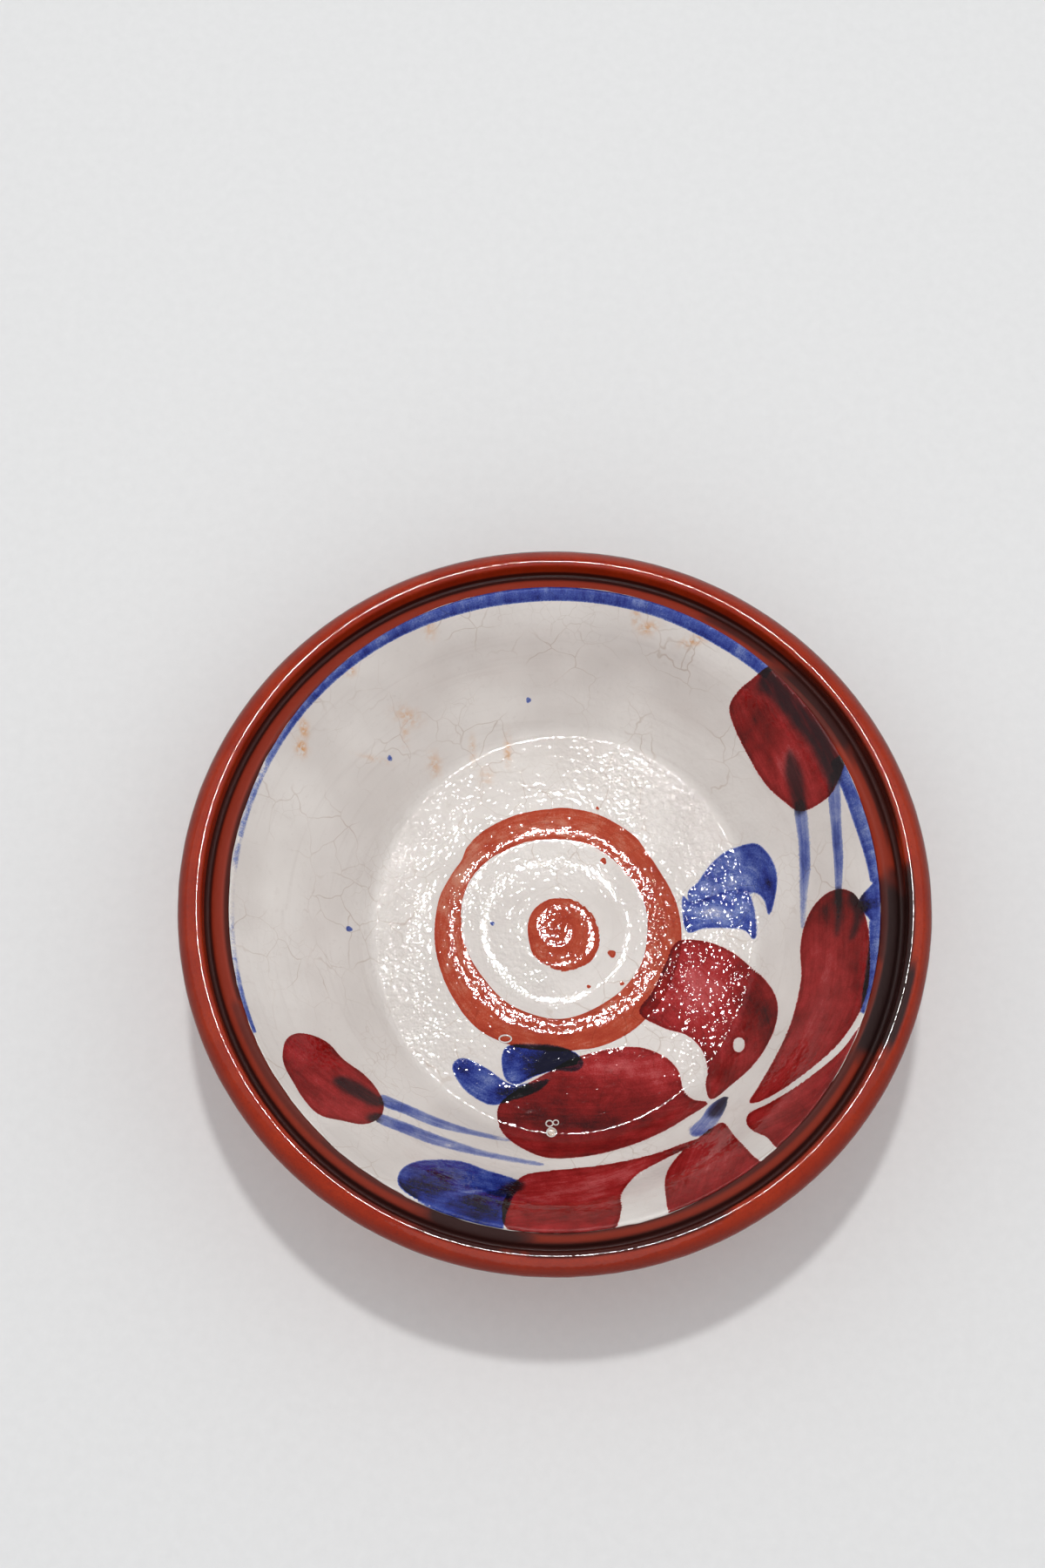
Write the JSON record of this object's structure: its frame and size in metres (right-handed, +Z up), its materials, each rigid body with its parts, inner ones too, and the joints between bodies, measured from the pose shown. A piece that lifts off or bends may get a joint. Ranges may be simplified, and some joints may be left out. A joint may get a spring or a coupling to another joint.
{
  "type": "ceramic bowl",
  "caption": "Shallow round earthenware bowl with a rolled rim, a flat floor and a foot ring, lined in white and painted with a red and blue flower spray.",
  "frame": {"origin": "on the table, under the middle of the foot ring", "axes": "+Z up along the axis on which the bowl was turned, +Y away from the viewer, +X to the viewer's right"},
  "size_m": [0.15, 0.15, 0.039],
  "materials": {
    "red_clay": "red earthenware, glossy clear glaze on the rim and bare matte clay outside",
    "white_slip": "white slip under a glossy crazed clear glaze",
    "red_slip": "thin red slip under the same glossy glaze",
    "red_paint": "crimson brushed colour under the same glossy glaze",
    "blue_paint": "cobalt blue brushed colour under the same glossy glaze"
  },
  "bodies": {
    "root": {"clay_body": "red_clay", "white_slip_lining": "white_slip", "red_slip_ring": "red_slip", "red_slip_dot": "red_slip", "blue_band_far": "blue_paint", "blue_band_right": "blue_paint", "blue_band_near": "blue_paint", "red_bud_upper": "red_paint", "red_bud_left": "red_paint", "red_petal_inner": "red_paint", "red_petal_long": "red_paint", "red_petal_outer_right": "red_paint", "red_petal_outer_near": "red_paint", "red_petal_big": "red_paint", "red_petal_near": "red_paint", "blue_leaf_arch": "blue_paint", "blue_leaf_base": "blue_paint", "blue_leaf_by_ring": "blue_paint", "blue_leaf_small": "blue_paint", "blue_leaf_near": "blue_paint", "blue_knot": "blue_paint", "blue_blot_right": "blue_paint", "blue_stem_upper_inner": "blue_paint", "blue_stem_upper_outer": "blue_paint", "blue_stem_left_upper": "blue_paint", "blue_stem_left_lower": "blue_paint"}
  },
  "joints": []
}
